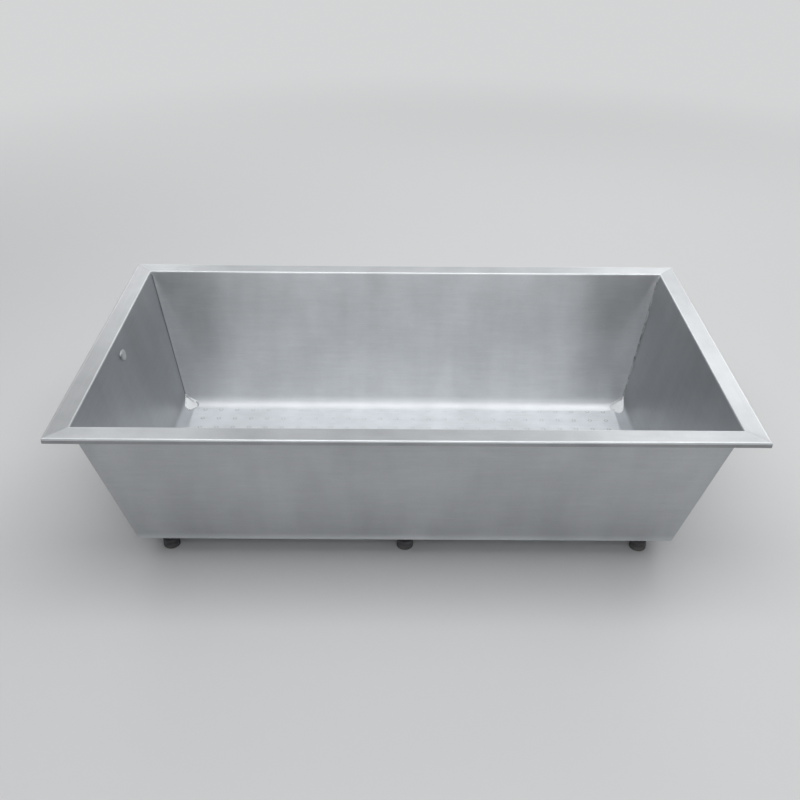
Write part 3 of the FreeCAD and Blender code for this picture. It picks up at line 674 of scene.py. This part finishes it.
mill_steel = metal_finish(
    "mill_finished_steel", colour=(0.50, 0.51, 0.525), stain=(0.36, 0.36, 0.37),
    roughness=0.42, stretch=along_rail, line_depth=0.00005,
)
turned_steel = metal_finish(
    "turned_fastener_steel", colour=(0.56, 0.56, 0.565), stain=(0.44, 0.42, 0.39),
    roughness=0.37, stretch=round_thread, line_depth=0.00003, edge_wear_and_hollow_shade=0.22,
)
seam_metal = metal_finish(
    "ground_seam_steel", colour=(0.56, 0.57, 0.585), stain=(0.46, 0.44, 0.41),
    roughness=0.40, stretch=across_seam, line_depth=0.00005,
)
satin_steel = metal_finish(
    "satin_cover_steel", colour=(0.80, 0.81, 0.82), stain=(0.70, 0.70, 0.70),
    roughness=0.48, stretch=round_about, line_depth=0.00001, edge_wear_and_hollow_shade=0.06, stain_amount=0.3,
)
bright_steel = metal_finish(
    "polished_fitting_steel", colour=(0.70, 0.71, 0.72), stain=(0.60, 0.60, 0.60),
    roughness=0.16, stretch=round_about, line_depth=0.00001, edge_wear_and_hollow_shade=0.06, stain_amount=0.3,
)
turned_brass = metal_finish(
    "turned_brass", colour=(0.72, 0.55, 0.27), stain=(0.46, 0.31, 0.15),
    roughness=0.37, stretch=round_about, line_depth=0.00003,
)

finish(("left_front_rail", "left_back_rail", "middle_rail", "right_rail"), mill_steel)
finish(("foot_weld_nuts", "foot_lock_nuts"), turned_steel)
finish(("floor_seam_weld",), seam_metal)
finish(("waste_flange",), bright_steel)
finish(("overflow_sleeve", "overflow_screw"), satin_steel)
finish(("plug_cartridge",), turned_brass)

# %% [markdown]
# Moulded parts are rubber or plastic. Rubber is matte, collects pale dust in its low places and has a fine
# pebbled skin. Plastic is smoother. Again one finish with a few values, so that all of them are related.

# %% Moulded finish


def moulded_finish(name, colour, dust, roughness, skin_depth, dust_amount=0.3):
    """Matte moulded material with a pebbled skin, uneven colour and some dust."""
    material, tree, shader = new_material(name)
    cloud = use_group(tree, clouding, object_vector(tree)).outputs
    point = put(tree, "ShaderNodeNewGeometry").outputs["Pointiness"]
    mottle = remap(tree, cloud["Smears"], 0.35, 0.70, 0.0, dust_amount)
    speckle = remap(tree, cloud["Grain"], 0.55, 0.75, 0.0, dust_amount * 0.6)
    worn = remap(tree, point, 0.505, 0.57, 0.0, 0.55)
    amount = math_node(tree, "ADD", total(tree, mottle, speckle), worn, clamp=True)
    tree.links.new(mixed_colours(tree, amount, colour, dust), shader.inputs["Base Color"])
    rough = total(
        tree,
        remap(tree, cloud["Clouds"], 0.3, 0.7, roughness - 0.06, roughness + 0.06),
        remap(tree, cloud["Grain"], 0.3, 0.7, -0.05, 0.05),
    )
    tree.links.new(rough, shader.inputs["Roughness"])
    bumped(tree, shader, cloud["Grain"], skin_depth)
    return material


print("moulded finish ready")

# %% Rubbers and plastics
sole_rubber = moulded_finish(
    "pebbled_sole_rubber", colour=(0.034, 0.034, 0.036), dust=(0.21, 0.21, 0.21),
    roughness=0.75, skin_depth=0.00015, dust_amount=0.75,
)
cup_plastic = moulded_finish(
    "moulded_cup_plastic", colour=(0.040, 0.040, 0.044), dust=(0.18, 0.18, 0.185),
    roughness=0.52, skin_depth=0.00006, dust_amount=0.55,
)
seal_rubber = moulded_finish(
    "dusty_seal_rubber", colour=(0.028, 0.028, 0.030), dust=(0.10, 0.10, 0.10),
    roughness=0.65, skin_depth=0.00006,
)
fitting_plastic = moulded_finish(
    "grey_fitting_plastic", colour=(0.52, 0.53, 0.54), dust=(0.40, 0.39, 0.37),
    roughness=0.45, skin_depth=0.00005,
)
pipe_plastic = moulded_finish(
    "grey_pipe_plastic", colour=(0.42, 0.43, 0.44), dust=(0.33, 0.32, 0.31),
    roughness=0.38, skin_depth=0.00003,
)

finish(("waste_gasket", "overflow_gasket", "plug_seal"), seal_rubber)
finish(("waste_body", "overflow_elbow", "overflow_lower_elbow"), fitting_plastic)
finish(("overflow_down_pipe", "overflow_floor_pipe"), pipe_plastic)

# %% [markdown]
# Round parts come next: feet, plug, overflow cover and pipe nuts. On a lathe one draws half of the outline
# and turns it about the axis, and Spin does just that. A Screw modifier would do it too, but Spin leaves
# a finished mesh, and with a shift along the axis at each step it also winds the thread of the studs.

# %% Turning helpers
mm = 0.001
turning_centre = (0.0, 0.0, 0.0)
turning_axis = (0.0, 0.0, 1.0)


def outline_arc(middle_radius, middle_height, radius, first_angle, last_angle, steps=6):
    """Points of an arc in the half outline, for a rounded edge."""
    points = []
    for step in range(steps + 1):
        angle = math.radians(first_angle + (last_angle - first_angle) * step / steps)
        points.append((middle_radius + radius * math.cos(angle), middle_height + radius * math.sin(angle)))
    return points


def outline(shape, points, closed=False):
    """Adds the half outline, in millimetres as (radius, height), as a chain of edges."""
    verts = [shape.verts.new((radius * mm, 0.0, height * mm)) for radius, height in points]
    pairs = list(zip(verts, verts[1:]))
    if closed:
        pairs.append((verts[-1], verts[0]))
    return verts + [shape.edges.new(pair) for pair in pairs]


def turned(points, steps=72, closed=False):
    """A solid of revolution about the vertical axis."""
    shape = bmesh.new()
    bmesh.ops.spin(
        shape, geom=outline(shape, points, closed), cent=turning_centre, axis=turning_axis,
        angle=math.tau, steps=steps, use_merge=True,
    )
    bmesh.ops.remove_doubles(shape, verts=shape.verts, dist=0.000001)
    bmesh.ops.dissolve_degenerate(shape, edges=shape.edges, dist=0.000001)
    return shape


def join_in(shape, other, index=0):
    """Adds a second shape to the first, with its own material index, and frees it."""
    before = len(shape.faces)
    mesh = mesh_from(other, "joined")
    shape.from_mesh(mesh)
    bpy.data.meshes.remove(mesh)
    shape.faces.ensure_lookup_table()
    for face in shape.faces[before:]:
        face.material_index = index


def aimed(place, direction):
    """The matrix that stands a turned part at a place in millimetres, with its axis along a direction."""
    turn = Vector(direction).to_track_quat("Z", "Y").to_matrix().to_4x4()
    return Matrix.Translation(Vector(place) * mm) @ turn


print("lengths are drawn in units of", mm, "m")

# %% Piece helper
crease_angle = math.radians(38)


def piece_from(shape, name, body, replaced, material, place=Matrix.Identity(4)):
    """Moves a finished shape into place and makes it the visible piece for a construction node."""
    shape.transform(place)
    bmesh.ops.recalc_face_normals(shape, faces=shape.faces)
    for face in shape.faces:
        face.smooth = True
    for edge in shape.edges:
        edge.smooth = len(edge.link_faces) != 2 or edge.calc_face_angle() < crease_angle
    piece = linked_object(name, mesh_from(shape, name))
    piece.data.materials.append(material)
    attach(piece, body)
    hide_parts(*replaced)
    return piece


print("edges sharper than", round(math.degrees(crease_angle)), "degrees stay crisp")

# %% [markdown]
# A levelling foot has three parts. The rubber sole grips the floor with rings below and grooves round its
# side. The plastic cup holds the ball of the stud. The stud has a real screw thread, wound with Spin: after
# each full turn the outline has risen by exactly one pitch, so the turns join into one surface.

# %% Foot sole
sole_radius = 20.0
sole_height = 12.0
tread_rings = (4.0, 8.0, 12.0)
side_grooves = (7.2, 9.6)
side_groove_depth = 0.7


def sole_shape():
    """Rubber sole with tread rings and two grooves round its side."""
    points = [(0.0, 0.0)]
    for ring in tread_rings:
        points += [(ring, 0.0), (ring + 0.3, 0.9), (ring + 1.3, 0.9), (ring + 1.6, 0.0)]
    points += outline_arc(sole_radius - 3.0, 3.0, 3.0, -90, 0)
    waist = sole_radius - side_groove_depth
    for groove in side_grooves:
        points += [(sole_radius, groove), (waist, groove + 0.35)]
        points += [(waist, groove + 0.75), (sole_radius, groove + 1.1)]
    points += outline_arc(sole_radius - 0.6, sole_height - 0.6, 0.6, 0, 90, 3)
    return turned(points + [(8.05, sole_height), (8.05, 8.0), (0.0, 8.0)])


print("sole", 2 * sole_radius, "mm across,", len(tread_rings), "tread rings")

# %% Foot cup
cup_radius = 19.2
cup_top = 25.0
flute_depth = 0.55
flute_count = 24
flute_start = 13.2
flute_end = 22.8


def cup_shape():
    """Plastic cup with shallow flutes for the fingers round its side."""
    points = [(0.0, 8.0), (8.0, 8.0), (8.0, 12.0), (cup_radius - 0.5, 12.0)]
    points += outline_arc(cup_radius - 0.5, 12.5, 0.5, -60, 0, 2)
    points += [(cup_radius, height) for height in (13.4, 15.0, 17.0, 19.0, 21.0)]
    points += outline_arc(cup_radius - 2.5, cup_top - 2.5, 2.5, 0, 90)
    points += [(12.0, cup_top), (11.6, cup_top - 0.5), (9.4, cup_top - 0.5), (9.0, cup_top), (6.05, cup_top)]
    points += [(6.05, 18.05), (10.05, 18.05), (10.05, 14.0), (0.0, 14.0)]
    shape = turned(points, steps=144)
    for vert in shape.verts:
        radius = math.hypot(vert.co.x, vert.co.y)
        height = vert.co.z / mm
        if radius > (cup_radius - 0.3) * mm and flute_start < height < flute_end:
            flute = max(0.0, math.cos(math.atan2(vert.co.y, vert.co.x) * flute_count)) ** 0.7
            depth = flute_depth * mm * flute * min(1.0, (height - flute_start) / 1.5)
            vert.co.xy *= (radius - depth) / radius
    return shape


print("cup with", flute_count, "flutes")

# %% Foot stud thread
thread_pitch = 1.75
thread_radius = 6.0
thread_depth = 1.07
thread_steps = 32
stud_bottom = 14.03
head_top = 18.0
stud_top = 46.5


def thread_shape():
    """The threaded shank, cut off flat at both ends."""
    shape = bmesh.new()
    root = thread_radius - thread_depth
    flanks = [(root, 0.22), (thread_radius, 0.82), (thread_radius, 1.04), (root, 1.64)]
    turns = math.ceil((stud_top - head_top) / thread_pitch) + 3
    bmesh.ops.spin(
        shape, geom=outline(shape, [(root, 0.0), *flanks, (root, thread_pitch)]),
        cent=turning_centre, axis=turning_axis,
        angle=math.tau * turns, steps=thread_steps * turns, dvec=(0.0, 0.0, thread_pitch * mm / thread_steps),
    )
    bmesh.ops.remove_doubles(shape, verts=shape.verts, dist=0.000004)
    bmesh.ops.translate(shape, verts=shape.verts, vec=(0.0, 0.0, (head_top - 2 * thread_pitch) * mm))
    for height, side in ((head_top - 0.5, -1.0), (stud_top - 0.6, 1.0)):
        cut = bmesh.ops.bisect_plane(
            shape, geom=shape.verts[:] + shape.edges[:] + shape.faces[:], dist=0.0000001,
            plane_co=(0.0, 0.0, height * mm), plane_no=(0.0, 0.0, side), clear_outer=True,
        )
        rim = [item for item in cut["geom_cut"] if isinstance(item, bmesh.types.BMEdge)]
        bmesh.ops.edgenet_fill(shape, edges=rim)
    return shape


print("thread of", 2 * thread_radius, "mm with a pitch of", thread_pitch, "mm")

# %% Foot stud
collar_flats = 19.0
collar_bottom = 25.3
collar_height = 4.4


def collar_shape():
    """The bevelled hexagon for the wrench."""
    collar = bmesh.new()
    corner_radius = collar_flats / 2 / math.cos(math.pi / 6)
    bmesh.ops.create_circle(collar, cap_ends=True, radius=corner_radius * mm, segments=6)
    raised = bmesh.ops.extrude_face_region(collar, geom=collar.faces[:])
    top = [item for item in raised["geom"] if isinstance(item, bmesh.types.BMVert)]
    bmesh.ops.translate(collar, verts=top, vec=(0.0, 0.0, collar_height * mm))
    bmesh.ops.translate(collar, verts=collar.verts, vec=(0.0, 0.0, collar_bottom * mm))
    bmesh.ops.bevel(
        collar, geom=collar.edges[:], offset=0.5 * mm, segments=2, profile=0.5,
        affect="EDGES", material=-1, clamp_overlap=True,
    )
    return collar


def stud_shape():
    """Stud with its thread, the round head inside the cup, the flat tip and the hexagon collar."""
    head = outline_arc(9.4, stud_bottom + 0.6, 0.6, -90, 0, 3)
    head += outline_arc(9.4, head_top - 0.6, 0.6, 0, 90, 3)
    tip = [(0.0, -1.4), (4.8, -1.4), (4.8, -0.6), (4.2, 0.0), (0.0, 0.0)]
    tip = [(radius, stud_top + below) for radius, below in tip]
    shape = thread_shape()
    join_in(shape, turned([(0.0, stud_bottom), *head, (0.0, head_top)], steps=48))
    join_in(shape, turned(tip, steps=32))
    join_in(shape, collar_shape())
    return shape


print("collar", collar_flats, "mm across its flats")

# %% Place the six feet
foot_along = {"left": -570.02, "middle": 0.0, "right": 570.02}
foot_across = {"front": -252.03, "back": 252.03}

for x_name, along in foot_along.items():
    for y_name, across in foot_across.items():
        foot = f"{y_name}_{x_name}"
        place = Matrix.Translation((along * mm, across * mm, 0.0))
        for shape, node, ending, body, slot_name, material in (
            (sole_shape(), "foot_sole", "moulded", "foot", "sole_rubber", sole_rubber),
            (cup_shape(), "foot_cup", "moulded", "foot", "cup_plastic", cup_plastic),
            (stud_shape(), "foot_stud", "threaded", "stud", "fastener_steel", turned_steel),
        ):
            replaced = f"{foot}_{node}"
            piece = piece_from(
                shape, f"{replaced}_{ending}", f"{foot}_{body}", (replaced,), material, place)
print("six feet, thread of", len(piece.data.polygons), "faces each")

# %% [markdown]
# The plug and the overflow cover are small pressed domes. A dome drawn as a curve catches one soft highlight,
# where the straight cone of the construction model would show a point.

# %% Dome outline


def dome(radius, edge_height, top_height, steps=14, inside=0.0):
    """Outline points of a flat dome, from its edge to the middle or to a hole."""
    points = []
    for step in range(steps + 1):
        here = radius - (radius - inside) * step / steps
        points.append((here, top_height - (top_height - edge_height) * (here / radius) ** 2))
    return points


print("dome ready")

# %% Plug
plug_radius = 31.0
plug_edge = 0.8
plug_bottom = 52.3

plug_outline = [(0.0, 40.0), (5.0, 40.0), (5.0, 51.5), (21.0, 51.5), (21.0, plug_bottom)]
plug_outline += [(plug_radius - plug_edge, plug_bottom)]
plug_outline += outline_arc(plug_radius - plug_edge, plug_bottom + plug_edge, plug_edge, -90, 60)
plug_outline += dome(plug_radius - 0.6, 54.05, 56.8)
plug_piece = piece_from(
    turned(plug_outline, 96), "plug_domed", "plug", ("plug",), bright_steel,
    Matrix.Translation((-430.0 * mm, 0.0, 0.0)),
)
print(plug_piece.name, "of", 2 * plug_radius, "mm,", len(plug_piece.data.polygons), "faces")

# %% Overflow cover
cover_radius = 13.5
cover_edge = 0.6
cover_bottom = 3.2
cover_spot = (-695.65, 0.0, 386.5)
wall_lean = math.radians(11.02)

cover_outline = [(2.9, 0.0), (4.0, 0.0), (4.0, cover_bottom), (cover_radius - cover_edge, cover_bottom)]
cover_outline += outline_arc(cover_radius - cover_edge, cover_bottom + cover_edge, cover_edge, -90, 60)
cover_outline += dome(cover_radius - 0.5, 4.45, 5.4, inside=4.6) + [(4.5, 5.25), (4.5, 4.0), (2.9, 4.0)]
cover_piece = piece_from(
    turned(cover_outline, 72, closed=True), "overflow_cover_domed", "tub", ("overflow_cover",),
    satin_steel, aimed(cover_spot, (math.cos(wall_lean), 0.0, math.sin(wall_lean))),
)
print(cover_piece.name, "of", 2 * cover_radius, "mm,", len(cover_piece.data.polygons), "faces")

# %% [markdown]
# The four nuts that clamp the overflow pipe are moulded union nuts. Hands tighten them, so they carry lugs.
# The lugs come from the angle of each vertex: the turned ring is pushed out and in as one goes round it.

# %% Pipe nuts
nut_radius = 18.0
nut_length = 14.0
socket_radius = 15.65
pipe_gap_radius = 12.75
lug_count = 10
lug_height = 1.1
nut_places = (
    ((-722.087, 0.0, 354.861), (0.19121, 0.0, -0.98155)),
    ((-663.561, 0.0, 54.426), (-0.19121, 0.0, 0.98155)),
    ((-628.092, 0.0, 25.2), (1.0, 0.0, 0.0)),
    ((-477.0, 0.0, 25.2), (-1.0, 0.0, 0.0)),
)


def pipe_nut_shape():
    """A union nut with lugs round it, open below for the socket and closed above to the pipe."""
    points = [(socket_radius, 0.0), (nut_radius - 0.7, 0.0)]
    points += [(nut_radius, height) for height in (0.7, 3.5, 7.0, 10.5, 12.0)]
    points += outline_arc(nut_radius - 2.0, 12.0, 2.0, 0, 90, 4)
    points += [(pipe_gap_radius, nut_length), (pipe_gap_radius, 8.1), (socket_radius, 8.1)]
    shape = turned(points, 120, closed=True)
    for vert in shape.verts:
        radius = math.hypot(vert.co.x, vert.co.y)
        if radius > (nut_radius - 1.0) * mm:
            wave = math.cos(math.atan2(vert.co.y, vert.co.x) * lug_count)
            vert.co.xy *= (radius + mm * (lug_height * max(-0.6, min(0.6, wave * 1.6)))) / radius
    return shape


all_nuts = bmesh.new()
for spot, way in nut_places:
    nut = pipe_nut_shape()
    nut.transform(aimed(spot, way))
    join_in(all_nuts, nut)
nuts_piece = piece_from(
    all_nuts, "overflow_pipe_nuts_lugged", "tub", ("overflow_pipe_nuts",), fitting_plastic)
print(nuts_piece.name, "with", len(nut_places), "nuts,", len(nuts_piece.data.polygons), "faces")

# %% [markdown]
# The four upright corner seams are closed by hand with a weld. Each drop of metal freezes as a small scale
# that overlaps the last one, so the bead is a row of ripples. On this tub the right-hand seams are lumpier
# than the left-hand ones. The bead starts as a flat grid that is rolled round the corner line ring by ring.

# %% Corner weld beads
ripple_pitch = 2.3
rings_per_ripple = 6
bead_bottom = 30.5
bead_top = 377.0
tub_depth = 385.0
corner_bottom = Vector((630.0, 295.0, 49.5))
corner_rise = Vector((75.0, 85.0, tub_depth))
face_share = 0.7
flank_share = 0.15


def bead_point(around, rise, leg, lump, seed):
    """A point of the bead: how far around its section, and how high above the floor of the tub."""
    corner = corner_bottom + corner_rise * (rise / tub_depth)
    scale_bow = 1.1 * math.sin(math.pi * min(around / face_share, 1.0))
    ripple = abs(math.sin(math.pi * (rise / ripple_pitch - scale_bow)))
    fine = noise.noise(Vector((rise / 9.0, seed, 0.0)))
    coarse = noise.noise(Vector((rise / 31.0, seed, 5.0)))
    end = min(1.0, (rise - bead_bottom) / 3.0 + 0.15, (bead_top - rise) / 3.0 + 0.15)
    size = leg * min(0.84 + 0.16 * ripple + fine * lump + coarse * lump, 1.2) * end
    if around <= face_share:
        angle = math.pi / 2 * around / face_share
        return corner + Vector((-math.sin(angle), -math.cos(angle), 0.0)) * size
    if around < face_share + flank_share:
        return corner + Vector((-size, 0.0, 0.0)) * (face_share + flank_share - around) / flank_share
    return corner + Vector((0.0, -size, 0.0)) * (around - face_share - flank_share) / flank_share


def bead_shape(leg, lump, seed):
    """The rippled bead of the back right corner."""
    shape = bmesh.new()
    rings = int((bead_top - bead_bottom) / ripple_pitch * rings_per_ripple)
    bmesh.ops.create_grid(shape, x_segments=20, y_segments=rings, size=0.5)
    for vert in shape.verts:
        rise = bead_bottom + (bead_top - bead_bottom) * (vert.co.y + 0.5)
        vert.co = bead_point(vert.co.x + 0.5, rise, leg, lump, seed)
    bmesh.ops.remove_doubles(shape, verts=shape.verts, dist=0.001)
    bmesh.ops.holes_fill(shape, edges=[edge for edge in shape.edges if edge.is_boundary], sides=0)
    bmesh.ops.scale(shape, verts=shape.verts, vec=(mm, mm, mm))
    return shape


print("a bead has", round((bead_top - bead_bottom) / ripple_pitch), "ripples")

# %% Weld metals
no_direction = (1.0, 1.0, 1.0)
level_scratches = (18.0, 18.0, 60.0)

pale_weld = metal_finish(
    "pale_weld_steel", colour=(0.55, 0.56, 0.575), stain=(0.16, 0.155, 0.15),
    roughness=0.40, stretch=no_direction, line_depth=0.00008, edge_wear_and_hollow_shade=0.35, stain_amount=1.0,
)
# The left-hand beads are painted dark: painted shade of the gap along their seams.
painted_shade_weld = metal_finish(
    "painted_shade_weld_steel", colour=(0.30, 0.305, 0.32), stain=(0.24, 0.22, 0.20),
    roughness=0.46, stretch=no_direction, line_depth=0.00008, edge_wear_and_hollow_shade=0.15, stain_amount=0.35,
)
ground_facet = metal_finish(
    "ground_facet_steel", colour=(0.73, 0.745, 0.76), stain=(0.62, 0.62, 0.61),
    roughness=0.54, stretch=level_scratches, line_depth=0.00012, stain_amount=0.4,
)
print("weld metals", pale_weld.name, painted_shade_weld.name, ground_facet.name)

# %% [markdown]
# Where a seam ends at the bottom of the tub, a grinder has cut its foot to a small bright facet. It needs no
# new shape: a bisected copy of the construction weld has it already, and two insets turn the flat face into
# a low cushion, so that it catches the light softly instead of like a mirror.

# %% Facet of a corner weld
facet_top = (49.5 + bead_bottom + 0.5) * mm
facet_length = 44.0
facet_height = 34.0
cushion_steps = ((2.0, 0.10), (3.0, 0.12))

facet_crest = corner_rise * (facet_height / tub_depth)
along_side = facet_crest - Vector((-facet_length, 0.0, 0.0))
along_end = facet_crest - Vector((0.0, -facet_length, 0.0))
facet_normal = along_side.cross(along_end).normalized()
facet_normal *= math.copysign(1.0, facet_normal.z)


def facet_shape(node, x_way, y_way):
    """The ground foot of one corner weld, from its construction node, with a slightly cushioned facet."""
    shape = bmesh.new()
    shape.from_mesh(nodes[node].data)
    bmesh.ops.remove_doubles(shape, verts=shape.verts, dist=0.000005)
    bmesh.ops.bisect_plane(
        shape, geom=shape.verts[:] + shape.edges[:] + shape.faces[:], dist=0.0000001,
        plane_co=(0.0, 0.0, facet_top), plane_no=(0.0, 0.0, 1.0), clear_outer=True,
    )
    bmesh.ops.holes_fill(shape, edges=[edge for edge in shape.edges if edge.is_boundary], sides=0)
    facing = Vector((facet_normal.x * x_way, facet_normal.y * y_way, facet_normal.z))
    flat = [face for face in shape.faces if face.normal.dot(facing) > 0.999]
    flat = bmesh.ops.dissolve_faces(shape, faces=flat, use_verts=False)["region"]
    for thickness, depth in cushion_steps:
        bmesh.ops.inset_region(
            shape, faces=flat, thickness=thickness * mm, depth=depth * mm, use_even_offset=True)
    bmesh.ops.triangulate(shape, faces=flat)
    return shape


print("facet looks along", [round(part, 3) for part in facet_normal])

# %% Make the four corner welds
# for each side: its way along x, the leg of the bead in mm, how lumpy it is, and its metal, painted dark as
# shade on the left
weld_sides = {
    "left": (-1.0, 2.0, 0.06, painted_shade_weld),
    "right": (1.0, 3.2, 0.40, pale_weld),
}
for x_name, (x_way, leg, lump, bead_metal) in weld_sides.items():
    for y_name, y_way in (("front", -1.0), ("back", 1.0)):
        node = f"{y_name}_{x_name}_corner_weld"
        facet = facet_shape(node, x_way, y_way)
        bead = bead_shape(leg, lump, 10.0 * x_way + y_way)
        bmesh.ops.scale(bead, verts=bead.verts, vec=(x_way, y_way, 1.0))
        join_in(facet, bead, 1)
        weld = piece_from(facet, node + "_rippled", "tub", (node,), ground_facet)
        weld.data.materials.append(bead_metal)
print("four corner welds,", len(weld.data.polygons), "faces each")
